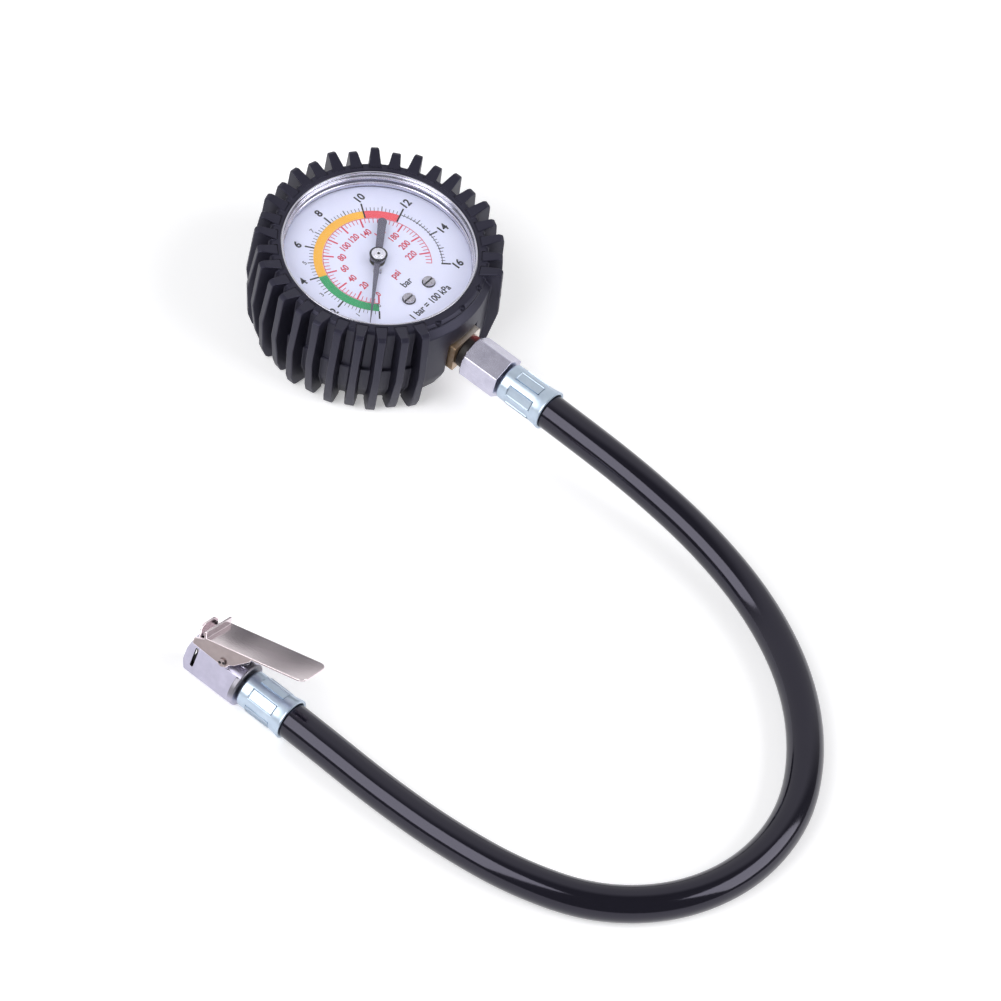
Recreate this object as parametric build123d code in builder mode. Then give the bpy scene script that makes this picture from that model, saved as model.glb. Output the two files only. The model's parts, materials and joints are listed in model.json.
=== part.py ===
from build123d import *
from math import atan, cos, degrees, pi, radians, sin, sqrt, tan
import os

# Handheld tyre pressure gauge: a 63 mm bottom-entry dial gauge in a ribbed rubber boot,
# a short hose and a clip-on chuck, lying flat on its back.  Millimetres.
# Origin: centre of the boot's back.  +Z out through the dial, the stem leaves along -Y.

os.makedirs("parts", exist_ok=True)

# ---------------------------------------------------------------- driving dimensions
boot_floor = 2.5            # rubber under the case
boot_front_z = 36.0         # front face of the boot's lip
window_opening_r = 30.8
boot_valley_r = 34.4        # wall between the ribs, front half
boot_rear_valley_r = 35.3   # rear half of the tread stands proud
parting_z = 18.9            # mould parting line
rib_count = 30
rib_pitch = 10.5            # degrees
rib_first_angle = -62.25    # degrees, first rib beside the smooth stem panel
rib_tip_w, rib_root_w = 2.3, 4.0
rib_parting_r = 40.0
panel_r = 36.3              # smooth panel round the stem

case_r, case_wall = 31.2, 0.6
case_front_z = 35.2
dial_z, dial_t, dial_r = 28.0, 0.6, 30.4
window_z, window_t = 33.4, 1.8

stem_z = 18.5               # height of the stem's axis
brass_w, brass_h = 12.4, 10.6
brass_end_y = -37.6
hex_af = 13.0
hex_turn = 21.0             # degrees, top flat turned towards -X
hex_start_y, hex_end_y = -40.6, -54.0
ferrule_len = 17.0

hose_r, hose_bore_r = 5.7, 3.0

chuck_x, chuck_z = -137.0, 7.4
chuck_mouth_y = -47.5
chuck_roll = 18.6           # degrees, lever leans towards +X
chuck_len = 20.5
chuck_r, chuck_flat = 7.3, 5.4
valve_r = 4.1               # bore for a tyre valve stem
pivot_d, pivot_h = 13.0, 7.0
spring_d, spring_seat_h = 16.6, 5.75
spring_wire_r, spring_r, spring_turns = 0.3, 1.6, 5
lever_w, lever_t = 12.7, 0.8
lever_front, lever_rear = (4.5, 10.3), (39.5, 20.0)   # (back from mouth, above axis)
jaw_top, jaw_tilt = (1.6, 11.6), 12.6                 # where the jaw's blade stands, and its lean in degrees

tube_r, tube_z = 23.0, 14.0 # mean radius and mid height of the Bourdon tube's arc
tube_w, tube_h, tube_wall = 3.0, 9.0, 0.4
tube_start, tube_sweep = -30.0, 285.0               # degrees, free end and length of arc
tip_pin_angle = -36.0
gear_module = 0.3
pinion_teeth, sector_teeth = 10, 70
sector_angle = -20.0        # degrees, where the sector's arbor stands
pointer_zero = -145.0       # degrees, pointer at zero pressure
back_plate_z, front_plate_z, plate_t = 12.0, 21.0, 1.2
sector_z, sector_t = 15.5, 1.0
link_z, link_t = 18.9, 0.6
hairspring_z = 17.6
pointer_z, pointer_t = 30.3, 0.7
pin_r = 0.6
running = 0.06              # radial clearance of small pivots


def polar(radius, angle):
    """Point at a radius and an angle in degrees, as an (x, y) pair."""
    return (radius * cos(radians(angle)), radius * sin(radians(angle)))


def save(piece, name):
    """Label a finished part builder and write it as its own STEP file."""
    piece.part.label = name
    export_step(piece.part, "parts/" + name + ".step")


# ---------------------------------------------------------------- rubber boot
def boot_rib(front_r, front_z, rear_r):
    """One tread rib: side profile crossed with a tapering plan section."""
    with BuildPart() as rib:
        with BuildSketch(Plane.XY.offset(-1)):
            with BuildLine():
                Polyline((case_r + 0.6, -rib_root_w / 2), (41, -rib_tip_w / 2 + 0.1),
                         (41, rib_tip_w / 2 - 0.1), (case_r + 0.6, rib_root_w / 2), close=True)
            make_face()
        extrude(amount=42)
        with BuildSketch(Plane.XZ):
            with BuildLine():
                Polyline((case_r + 0.3, boot_front_z - 1), (case_r + 0.3, boot_front_z + 0.2),
                         (front_r - 1.4, front_z), (front_r - 0.2, front_z - 0.5),
                         (front_r, front_z - 1.6), (rib_parting_r, parting_z),
                         (rear_r + 1.6, 5.6), (rear_r, 1.2), (rear_r - 1.0, 0.5),
                         (case_r, 0.5), (case_r + 0.3, boot_front_z - 1))
            make_face()
        extrude(amount=5, both=True, mode=Mode.INTERSECT)
    return rib.part


tall_rib = boot_rib(front_r=39.2, front_z=38.0, rear_r=36.2)
long_rib = boot_rib(front_r=38.5, front_z=37.2, rear_r=37.0)
with BuildPart() as rubber_boot:
    with BuildSketch(Plane.XZ):
        with BuildLine():
            Polyline((0, 0), (30.2, 0), (32.3, 2.6), (35.0, 9.5), (boot_rear_valley_r, parting_z - 0.2),
                     (boot_valley_r, parting_z + 0.2), (boot_valley_r - 0.2, boot_front_z - 1.0),
                     (boot_valley_r - 1.0, boot_front_z), (window_opening_r, boot_front_z),
                     (window_opening_r, case_front_z), (case_r, case_front_z),
                     (case_r, boot_floor + 2.2), (case_r - 2.2, boot_floor), (0, boot_floor),
                     close=True)
        make_face()
    revolve(axis=Axis.Z)
    # smooth panel where the stem comes out, bevelled towards the window
    panel_from = rib_first_angle + rib_count * rib_pitch - rib_pitch
    panel_arc = 360 + rib_first_angle - panel_from
    with BuildSketch(Plane((0, 0, 0), x_dir=(cos(radians(panel_from)), sin(radians(panel_from)), 0),
                           z_dir=(sin(radians(panel_from)), -cos(radians(panel_from)), 0))):
        with BuildLine():
            Polyline((case_r + 0.3, 3.4), (33.2, 3.4), (35.6, 9.5), (panel_r, 12), (panel_r, 32.0),
                     (32.8, boot_front_z), (case_r + 0.3, boot_front_z), close=True)
        make_face()
    revolve(axis=Axis.Z, revolution_arc=panel_arc)
    with PolarLocations(0, rib_count // 2, start_angle=rib_first_angle,
                        angular_range=rib_pitch * rib_count, endpoint=False):
        add(tall_rib)
    with PolarLocations(0, rib_count // 2, start_angle=rib_first_angle + rib_pitch,
                        angular_range=rib_pitch * rib_count, endpoint=False):
        add(long_rib)
    # slot that lets the boot slide over the stem from the front
    with BuildSketch(Plane.XZ.offset(26)):
        with Locations((0, 11.7)):
            Rectangle(13.4, 25.4)
    extrude(amount=20, mode=Mode.SUBTRACT)
    # three dimples on the panel's bevel
    with PolarLocations(33.6, 3, start_angle=-107, angular_range=34, endpoint=True):
        with Locations((0, 0, boot_front_z - 0.4)):
            Sphere(0.9, mode=Mode.SUBTRACT)
save(rubber_boot, "rubber_boot")

# ---------------------------------------------------------------- case, dial and window
with BuildPart() as case:
    with BuildSketch(Plane.XZ):
        with BuildLine():
            Polyline((0, boot_floor), (case_r - 2.2, boot_floor), (case_r, boot_floor + 2.2),
                     (case_r, case_front_z), (case_r - case_wall, case_front_z),
                     (case_r - case_wall, boot_floor + 2.5), (case_r - 2.5, boot_floor + case_wall),
                     (0, boot_floor + case_wall), close=True)
        make_face()
    revolve(axis=Axis.Z)
    with BuildSketch(Plane.XZ.offset(26)):
        with Locations((0, stem_z)):
            Rectangle(brass_w + 0.2, brass_h + 0.2)
    extrude(amount=8, mode=Mode.SUBTRACT)
save(case, "case")

liner_r = case_r - case_wall - 0.05
with BuildPart() as bezel_ring:
    dial_top = dial_z + dial_t
    with BuildSketch(Plane.XZ):
        with BuildLine():
            Polyline((liner_r, dial_top), (29.0, dial_top), (29.0, dial_top + 0.7), (29.6, 29.9),
                     (29.6, 31.0), (29.2, 31.3), (29.2, 32.0), (30.0, 32.6), (30.0, window_z),
                     (liner_r, window_z), close=True)
        make_face()
    revolve(axis=Axis.Z)
save(bezel_ring, "bezel_ring")

with BuildPart() as window:
    with BuildSketch(Plane.XY.offset(window_z)):
        Circle(liner_r)
    extrude(amount=window_t)
    chamfer(window.faces().sort_by(Axis.Z)[-1].edges(), 0.3)
save(window, "window")

dial_screw_at = [(-4.75, -16.9), (4.75, -16.9)]
with BuildPart() as dial:
    with BuildSketch(Plane.XY.offset(dial_z)):
        Circle(dial_r)
        Circle(2.4, mode=Mode.SUBTRACT)
        with Locations(*dial_screw_at):
            Circle(1.1, mode=Mode.SUBTRACT)
    extrude(amount=dial_t)
save(dial, "dial")

stop_place = polar(4.9, pointer_zero + 16)
with BuildPart() as zero_stop:
    with BuildSketch(Plane.XY.offset(dial_top)):
        with Locations(stop_place):
            Circle(0.35)
    extrude(amount=1.5)
save(zero_stop, "zero_stop")

# ---------------------------------------------------------------- Bourdon tube and socket
def radial_plane(angle):
    """Plane through the dial's axis, local x outwards at this angle and local y along +Z."""
    c, s = cos(radians(angle)), sin(radians(angle))
    return Plane((0, 0, 0), x_dir=(c, s, 0), z_dir=(s, -c, 0))


with BuildPart() as bourdon_tube:
    with BuildSketch(radial_plane(tube_start)):
        with Locations((tube_r, tube_z)):
            SlotOverall(tube_h, tube_w, rotation=90)
            SlotOverall(tube_h - 2 * tube_wall, tube_w - 2 * tube_wall, rotation=90,
                        mode=Mode.SUBTRACT)
    revolve(axis=Axis.Z, revolution_arc=tube_sweep)
save(bourdon_tube, "bourdon_tube")

tip_pin_at = polar(tube_r, tip_pin_angle)
with BuildPart() as tube_tip:
    with BuildSketch(radial_plane(tube_start)):         # cap brazed on the tube's free end
        with Locations((tube_r, tube_z)):
            SlotOverall(tube_h, tube_w, rotation=90)
    revolve(axis=Axis.Z, revolution_arc=-2.5)
    with BuildSketch(radial_plane(tube_start - 2.5)):   # ear that carries the link's pin
        with Locations((tube_r, tube_z + 1.5)):
            Rectangle(2.6, 1.6)
    revolve(axis=Axis.Z, revolution_arc=-5.5)
    with BuildSketch(Plane.XY.offset(tube_z + 2)):
        with Locations(tip_pin_at):
            Circle(pin_r)
    extrude(amount=link_z - 0.4 - tube_z - 2)           # ends just under the link
save(tube_tip, "tube_tip")

thread_r = 4.9
movement_screw_at = [(-5.0, -10.2), (5.0, -10.2)]
with BuildPart() as socket:
    with BuildSketch(Plane.XY.offset(5)):               # block that fills the case's wall
        Circle(case_r - case_wall - 0.03)
        with Locations((0, -24)):
            Rectangle(18, 20, mode=Mode.INTERSECT)
    extrude(amount=dial_z - 5)
    with BuildSketch(Plane.XY.offset(back_plate_z - 3)):    # shelf for the movement
        with Locations((0, -10.5)):
            Rectangle(16, 7.0)
    extrude(amount=3)
    with BuildSketch(Plane.XZ.offset(28)):              # square shank
        with Locations((0, stem_z)):
            RectangleRounded(brass_w, brass_h, 0.8)
    extrude(amount=-brass_end_y - 28)
    with BuildSketch(Plane.XZ.offset(-brass_end_y)):    # thread into the hose fitting
        with Locations((0, stem_z)):
            Circle(thread_r)
    extrude(amount=12.4)
    with BuildSketch(Plane.XZ.offset(20)):              # pressure passage
        with Locations((0, stem_z)):
            Circle(2.0)
    extrude(amount=31, mode=Mode.SUBTRACT)
    with BuildSketch(Plane.YZ):                         # cross drilling into the tube
        with Locations((-22.2, tube_z + 3)):
            Circle(1.0)
    extrude(amount=-6, mode=Mode.SUBTRACT)
    with BuildSketch(Plane.XY.offset(dial_z)):
        with Locations(*dial_screw_at):
            Circle(1.0)
    extrude(amount=-4.0, mode=Mode.SUBTRACT)
    with BuildSketch(Plane.XY.offset(back_plate_z)):
        with Locations(*movement_screw_at):
            Circle(0.9)
    extrude(amount=-2.5, mode=Mode.SUBTRACT)
    with BuildSketch(radial_plane(tube_start + tube_sweep)):    # seat of the tube's root
        with Locations((tube_r, tube_z)):
            SlotOverall(tube_h, tube_w, rotation=90)
    revolve(axis=Axis.Z, revolution_arc=-20, mode=Mode.SUBTRACT)
save(socket, "socket")

with BuildPart() as thread_seal:
    with BuildSketch(Plane.XZ.offset(-brass_end_y)):
        with Locations((0, stem_z)):
            Circle(5.5)
            Circle(thread_r, mode=Mode.SUBTRACT)
    extrude(amount=brass_end_y - hex_start_y)
    chamfer(thread_seal.edges().filter_by(GeomType.CIRCLE).group_by(SortBy.RADIUS)[-1], 0.5)
save(thread_seal, "thread_seal")

# ---------------------------------------------------------------- geared movement
centre_distance = gear_module * (pinion_teeth + sector_teeth) / 2
arbor_at = polar(centre_distance, sector_angle)
mesh_angle = sector_angle + 180                         # from the sector towards the pinion
pressure = radians(25)
tooth_top, tooth_root, backlash = 0.8 * gear_module, 1.25 * gear_module, 0.12
pinion_arbor_r, sector_arbor_r, sector_hub_r = 0.8, 0.9, 1.6
tail_angle, tail_length = mesh_angle - 200, 6.0         # arm that the link pulls
tail_at = polar(tail_length, tail_angle)
link_pin_at = (arbor_at[0] + tail_at[0], arbor_at[1] + tail_at[1])
pillar_at = [(-7.0, -5.0), (9.5, -11.2), (3.5, 9.0)]
stud_at = polar(5.3, 150)


def gear_tooth(teeth, centre_angle):
    """Points of one involute tooth, root to tip and back, about its gear's own centre."""
    pitch_r = gear_module * teeth / 2
    base_r = pitch_r * cos(pressure)
    half_angle = pi / (2 * teeth) - backlash / (4 * pitch_r) + tan(pressure) - pressure
    flank = []
    for step in range(4):
        radius = pitch_r - tooth_root + (tooth_root + tooth_top) * step / 3
        roll = sqrt(max(radius / base_r, 1) ** 2 - 1)
        flank.append((radius, degrees(half_angle - roll + atan(roll))))
    lower = [polar(radius, centre_angle - side) for radius, side in flank]
    upper = [polar(radius, centre_angle + side) for radius, side in reversed(flank)]
    return lower + upper


with BuildPart() as pinion:
    outline = []
    for tooth in range(pinion_teeth):                   # a gap faces the sector at rest
        outline += gear_tooth(pinion_teeth, sector_angle + (tooth + 0.5) * 360 / pinion_teeth)
    with BuildSketch(Plane.XY.offset(sector_z - 0.9)):
        with BuildLine():
            Polyline(*outline, close=True)
        make_face()
    extrude(amount=2.6)
    with BuildSketch(Plane.XY.offset(back_plate_z - 0.6)):      # arbor, up to the pointer
        Circle(pinion_arbor_r)
    extrude(amount=pointer_z + 1.7 - back_plate_z + 0.6)
    with BuildSketch(Plane.XY.offset(hairspring_z - 0.2)):      # hairspring collet
        Circle(1.45)
    extrude(amount=1.2)
save(pinion, "pinion")

with BuildPart() as sector_gear:
    outline = []
    for tooth in range(-9, 3):                          # the teeth that pass the pinion
        outline += gear_tooth(sector_teeth, mesh_angle + tooth * 360 / sector_teeth)
    outline += [polar(2.4, mesh_angle + 86), polar(2.4, mesh_angle - 122)]
    with BuildSketch(Plane((*arbor_at, sector_z))):
        with BuildLine():
            Polyline(*outline, close=True)
        make_face()
        Circle(2.4)
        SlotCenterPoint((tail_at[0] / 2, tail_at[1] / 2), tail_at, 2.6)
        with Locations(polar(6.6, mesh_angle - 18)):    # lightening hole
            Circle(2.0, mode=Mode.SUBTRACT)
        with Locations(tail_at):
            Circle(pin_r, mode=Mode.SUBTRACT)
        Circle(sector_hub_r, mode=Mode.SUBTRACT)
    extrude(amount=sector_t)
save(sector_gear, "sector_gear")

with BuildPart() as sector_arbor:
    with BuildSketch(Plane((*arbor_at, back_plate_z - 0.6))):
        Circle(sector_arbor_r)
    extrude(amount=front_plate_z - back_plate_z + plate_t + 1.2)
    with BuildSketch(Plane((*arbor_at, back_plate_z + plate_t + 0.2))):
        Circle(sector_hub_r)
    extrude(amount=front_plate_z - back_plate_z - plate_t - 0.4)
save(sector_arbor, "sector_arbor")

with BuildPart() as link_pin:
    with BuildSketch(Plane((*link_pin_at, sector_z))):
        Circle(pin_r)
    extrude(amount=link_z + link_t + 0.7 - sector_z)
    with BuildSketch(Plane((*link_pin_at, sector_z + sector_t))):   # shoulder under the link
        Circle(1.0)
    extrude(amount=link_z - 0.3 - sector_z - sector_t)
save(link_pin, "link_pin")

with BuildPart() as link:
    with BuildSketch(Plane.XY.offset(link_z)):
        middle = ((link_pin_at[0] + tip_pin_at[0]) / 2, (link_pin_at[1] + tip_pin_at[1]) / 2)
        SlotCenterPoint(middle, tip_pin_at, 2.8)
        with Locations(link_pin_at, tip_pin_at):
            Circle(pin_r + running, mode=Mode.SUBTRACT)
    extrude(amount=link_t)
save(link, "link")

plate_holes = [((0, 0), pinion_arbor_r + running), (arbor_at, sector_arbor_r + running)]


def movement_plate(bottom_z, screw_places, screw_hole_r):
    """One of the two brass plates that hold the gears' arbors."""
    with BuildPart() as plate:
        with BuildSketch(Plane.XY.offset(bottom_z)):
            with Locations(*pillar_at):
                Circle(2.3)
            with Locations(arbor_at):
                Circle(3.0)
            with Locations(movement_screw_at[0]):
                Circle(2.6)
            make_hull()
            for place, hole_r in plate_holes:
                with Locations(place):
                    Circle(hole_r, mode=Mode.SUBTRACT)
            with Locations(*screw_places):
                Circle(screw_hole_r, mode=Mode.SUBTRACT)
        extrude(amount=plate_t)
    return plate


movement_back_plate = movement_plate(back_plate_z, movement_screw_at, 0.95)
save(movement_back_plate, "movement_back_plate")
movement_front_plate = movement_plate(front_plate_z, pillar_at, 0.75)
save(movement_front_plate, "movement_front_plate")

with BuildPart() as movement_pillars:
    with BuildSketch(Plane.XY.offset(back_plate_z + plate_t)):
        with Locations(*pillar_at):
            Circle(1.2)
    extrude(amount=front_plate_z - back_plate_z - plate_t)
    with BuildSketch(Plane.XY.offset(front_plate_z)):
        with Locations(*pillar_at):
            Circle(0.7)
    extrude(amount=-3, mode=Mode.SUBTRACT)
save(movement_pillars, "movement_pillars")


def cheese_screws(places, seat_z, head_r, head_h, shank_r, shank_len):
    """Slotted screws whose heads sit at seat_z and whose shanks go down from there."""
    with BuildPart() as screws:
        with BuildSketch(Plane.XY.offset(seat_z)):
            with Locations(*places):
                Circle(head_r)
        extrude(amount=head_h)
        with BuildSketch(Plane.XY.offset(seat_z)):
            with Locations(*places):
                Circle(shank_r)
        extrude(amount=-shank_len)
        with BuildSketch(Plane.XY.offset(seat_z + 0.6 * head_h)):
            with Locations(*places):
                Rectangle(2 * head_r + 0.2, 0.3 * head_r)
        extrude(amount=head_h, mode=Mode.SUBTRACT)
    return screws


dial_screws = cheese_screws(dial_screw_at, dial_top, 1.9, 0.9, 1.0, 4.2)
save(dial_screws, "dial_screws")
pillar_screws = cheese_screws(pillar_at, front_plate_z + plate_t, 1.5, 0.8, 0.7, 3.4)
save(pillar_screws, "pillar_screws")
movement_screws = cheese_screws(movement_screw_at, back_plate_z + plate_t, 1.6, 0.8, 0.9, 3.2)
save(movement_screws, "movement_screws")

with BuildPart() as hairspring:
    with BuildSketch(Plane.XY.offset(hairspring_z)):
        with BuildLine() as spiral:
            inner_r, turn_step = 1.6, 0.34              # radius grows at each half turn
            for half_turn in range(10):
                left_end = -inner_r - turn_step * half_turn
                right_end = inner_r + turn_step * half_turn
                if half_turn % 2 == 0:
                    ThreePointArc((right_end, 0), (turn_step / 2, (right_end - left_end + turn_step) / 2),
                                  (left_end - turn_step, 0))
                else:
                    ThreePointArc((left_end, 0), (-turn_step / 2, (left_end - right_end - turn_step) / 2),
                                  (right_end + turn_step, 0))
        trace(line_width=0.2)
    extrude(amount=0.6)
save(hairspring, "hairspring")

with BuildPart() as hairspring_stud:
    with BuildSketch(Plane.XY.offset(hairspring_z - 0.2)):
        with Locations(stud_at):
            Circle(0.5)
    extrude(amount=front_plate_z - hairspring_z + 0.2)
save(hairspring_stud, "hairspring_stud")

# ---------------------------------------------------------------- pointer
pointer_len, pointer_tail = 26.3, 15.5
pointer_plane = Plane((0, 0, pointer_z), x_dir=(*polar(1, pointer_zero), 0), z_dir=(0, 0, 1))
with BuildPart() as pointer:
    with BuildSketch(pointer_plane):
        with BuildLine():
            Polyline((0, -1.05), (pointer_len, -0.12), (pointer_len, 0.12), (0, 1.05),
                     (1.5 - pointer_tail, 1.35), (1.5 - pointer_tail, -1.35), close=True)
        make_face()
        with Locations((1.5 - pointer_tail, 0)):
            Circle(1.5)
        Circle(2.6)
        Circle(1.2, mode=Mode.SUBTRACT)
    extrude(amount=pointer_t)
save(pointer, "pointer")

with BuildPart() as pointer_hub:
    hub_z = pointer_z + pointer_t
    with BuildSketch(Plane.XZ):
        with BuildLine():
            Polyline((1.2, hub_z + 1.3), (pinion_arbor_r, hub_z + 1.3),
                     (pinion_arbor_r, pointer_z - 1.0), (1.6, pointer_z - 1.0), (1.6, pointer_z),
                     (1.2, pointer_z), (1.2, hub_z), (3.1, hub_z), (3.1, hub_z + 0.6))
            ThreePointArc((3.1, hub_z + 0.6), (2.4, hub_z + 1.1), (1.2, hub_z + 1.3))
        make_face()
    revolve(axis=Axis.Z)
    with BuildSketch(pointer_plane.offset(-0.9)):       # tab that meets the zero stop
        with Locations((3.2, 0)):
            Rectangle(4.8, 1.8)
        Circle(pinion_arbor_r, mode=Mode.SUBTRACT)
    extrude(amount=0.6)
save(pointer_hub, "pointer_hub")

# ---------------------------------------------------------------- hose fittings
tail_bore_r, tail_root_r = 1.6, 2.6
barb_pitch, barb_count = 2.9, 5


def along(base):
    """Plane for profiles of (distance along base's normal, radius) points."""
    return Plane(base.origin, x_dir=base.z_dir, z_dir=-base.x_dir)


def barbs(start):
    """Saw-toothed outline of a hose tail: each barb tapers towards the hose."""
    points = []
    for barb in range(barb_count):
        points += [(start + barb * barb_pitch, hose_bore_r),
                   (start + (barb + 1) * barb_pitch, tail_root_r)]
    return points


def crimped_ferrule(base):
    """Waisted sleeve with six pressed flats, its front edge at the base plane."""
    with BuildPart() as sleeve:
        with BuildSketch(along(base)):
            with BuildLine():
                Polyline((0, hose_bore_r + 0.05), (0, 5.4), (0.6, 6.05), (4.0, 6.05),
                         (12.5, 6.15), (15.0, 6.45), (16.6, 6.75), (ferrule_len, 6.6),
                         (ferrule_len, 5.75), (15.0, 5.3), (1.2, 5.3),
                         (1.2, hose_bore_r + 0.05), close=True)
            make_face()
        revolve(axis=Axis(base.origin, base.z_dir))
        for flat in range(6):
            outward = base.x_dir.rotate(Axis((0, 0, 0), base.z_dir), flat * 60 + 30)
            flat_at = base.origin + base.z_dir * 8.3 + outward * 5.75
            with BuildSketch(Plane(flat_at, x_dir=base.z_dir, z_dir=outward)):
                Rectangle(9.0, 3.4)
            extrude(amount=2, mode=Mode.SUBTRACT)
    return sleeve


hex_base = Plane((0, hex_start_y, stem_z), x_dir=(1, 0, 0), z_dir=(0, -1, 0))
hex_len = hex_start_y - hex_end_y
hex_corner_r = hex_af / 2 / cos(radians(30))
with BuildPart() as gauge_hose_tail:
    with BuildSketch(along(hex_base)):
        with BuildLine():
            Polyline((0, 0), (0, 6.7), (0.45, hex_corner_r), (hex_len, hex_corner_r), (hex_len, 0),
                     close=True)
        make_face()
    revolve(axis=Axis(hex_base.origin, hex_base.z_dir))
    with BuildSketch(hex_base):
        RegularPolygon(hex_af / 2, 6, major_radius=False, rotation=hex_turn)
    extrude(amount=hex_len, mode=Mode.INTERSECT)
    with BuildSketch(along(hex_base)):
        with BuildLine():
            Polyline((hex_len, 0), (hex_len, hose_bore_r), *barbs(hex_len + 2),
                     (hex_len + 2 + barb_count * barb_pitch, 0), close=True)
        make_face()
    revolve(axis=Axis(hex_base.origin, hex_base.z_dir))
    with BuildSketch(hex_base):
        Circle(tail_bore_r)
    extrude(amount=40, mode=Mode.SUBTRACT)
    with BuildSketch(hex_base):                         # tapped for the shank's thread
        Circle(thread_r + 0.05)
    extrude(amount=9.9, mode=Mode.SUBTRACT)
save(gauge_hose_tail, "gauge_hose_tail")

gauge_ferrule = crimped_ferrule(hex_base.offset(hex_len + 0.5))
save(gauge_ferrule, "gauge_ferrule")

# ---------------------------------------------------------------- clip-on chuck
lean = radians(chuck_roll)
mouth = Plane((chuck_x, chuck_mouth_y, chuck_z), x_dir=(cos(lean), 0, -sin(lean)), z_dir=(0, -1, 0))
side = along(mouth)                                     # local x back from the mouth, y up
chuck_axis = Axis(mouth.origin, mouth.z_dir)

with BuildPart() as chuck_body:
    with BuildSketch(side):
        with BuildLine():
            Polyline((0, valve_r + 0.2), (0, 5.6), (1.2, chuck_r), (chuck_len - 0.4, chuck_r),
                     (chuck_len, chuck_r - 0.4), (chuck_len, 3.4), (12.0, 3.4), (12.0, 4.6), (9.5, 4.6),
                     (9.5, valve_r), (4.2, valve_r), (4.0, valve_r + 0.2), close=True)
        make_face()
    revolve(axis=chuck_axis)
    with BuildSketch(mouth):                            # two milled flats
        with Locations((-chuck_flat - 2, 0), (chuck_flat + 2, 0)):
            Rectangle(4, 16)
    extrude(amount=18.6, mode=Mode.SUBTRACT)
    with BuildSketch(side):                             # lug for the lever's pin
        with Locations((pivot_d, pivot_h)):
            Circle(1.9)
        with Locations((pivot_d, pivot_h - 1)):
            Rectangle(3.8, 2)
    extrude(amount=chuck_flat, both=True)
    with BuildSketch(side):
        with Locations((pivot_d, pivot_h)):
            Circle(0.9)
    extrude(amount=8, both=True, mode=Mode.SUBTRACT)
    with BuildSketch(side):                             # window for the jaw
        with Locations((2.75, 5.8)):
            Rectangle(2.9, 10)
    extrude(amount=4.45, both=True, mode=Mode.SUBTRACT)
    with BuildSketch(side):                             # slit through both flats
        with Locations((3.4, 0.9)):
            SlotOverall(7.0, 1.1, rotation=90)
    extrude(amount=8, both=True, mode=Mode.SUBTRACT)
    with BuildSketch(Plane(side.from_local_coords((spring_d, spring_seat_h, 0)), z_dir=side.y_dir)):
        Circle(spring_r + 0.65)                         # pocket of the spring, with a peg inside the coil
        Circle(0.9, mode=Mode.SUBTRACT)
    extrude(amount=5, mode=Mode.SUBTRACT)
save(chuck_body, "chuck_body")

with BuildPart() as valve_seal:
    with BuildSketch(mouth.offset(9.5)):
        Circle(4.6)
        Circle(1.9, mode=Mode.SUBTRACT)
    extrude(amount=2.5)
save(valve_seal, "valve_seal")

with BuildPart() as depressor_pin:
    with BuildSketch(mouth.offset(9.6)):
        Circle(0.8)
    extrude(amount=3.9)
    with BuildSketch(mouth.offset(12.0)):               # flange held between body and tail
        Circle(3.4)
        with PolarLocations(2.0, 4):
            Circle(0.7, mode=Mode.SUBTRACT)
    extrude(amount=1.5)
save(depressor_pin, "depressor_pin")

with BuildPart() as chuck_hose_tail:
    with BuildSketch(side):
        with BuildLine():
            Polyline((13.5, tail_bore_r), (13.5, 3.4), (chuck_len, 3.4), (chuck_len, hose_bore_r),
                     *barbs(chuck_len + 2), (chuck_len + 2 + barb_count * barb_pitch, tail_bore_r),
                     close=True)
        make_face()
    revolve(axis=chuck_axis)
save(chuck_hose_tail, "chuck_hose_tail")

chuck_ferrule = crimped_ferrule(mouth.offset(chuck_len + 0.5))
save(chuck_ferrule, "chuck_ferrule")

lever_tilt = atan((lever_rear[1] - lever_front[1]) / (lever_rear[0] - lever_front[0]))
lever_len = (lever_rear[0] - lever_front[0]) / cos(lever_tilt)
lever_x = side.x_dir * cos(lever_tilt) + side.y_dir * sin(lever_tilt)
lever_normal = side.y_dir * cos(lever_tilt) - side.x_dir * sin(lever_tilt)
lever_corner = side.from_local_coords((*lever_front, 0))
lever_top = Plane(lever_corner, x_dir=lever_x, z_dir=lever_normal)
lever_side = Plane(lever_corner, x_dir=lever_x, z_dir=side.z_dir)
cheek_in = lever_w / 2 - lever_t
jaw_forward = -side.x_dir * cos(radians(jaw_tilt)) - side.y_dir * sin(radians(jaw_tilt))

with BuildPart() as lever:
    with BuildSketch(lever_top):                        # thumb plate
        with Locations((lever_len / 2, 0)):
            plate_outline = Rectangle(lever_len, lever_w)
        fillet(plate_outline.vertices().sort_by(Axis.X)[-2:], 2.5)
    extrude(amount=-lever_t)
    with BuildSketch(lever_side):                       # lip turned up at the front
        with Locations((lever_t / 2, 0.6)):
            Rectangle(lever_t, 2.8)
    extrude(amount=lever_w / 2, both=True)
    for cheek_from in (cheek_in, -lever_w / 2):         # side cheeks over the body's flats
        with BuildSketch(side.offset(cheek_from)):
            with BuildLine():
                Polyline((1.4, 8.0), (1.4, 6.2), (2.0, 5.8), (13.8, 5.5), (14.6, 5.9), (15.6, 7.6),
                         (16.9, 8.4), (21.2, 13.3), (21.6, 14.6), (lever_front[0] + 0.4, 10.0),
                         close=True)
            make_face()
            with Locations((pivot_d, pivot_h)):
                Circle(0.9 + running, mode=Mode.SUBTRACT)
        extrude(amount=lever_t)
save(lever, "lever")

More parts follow.
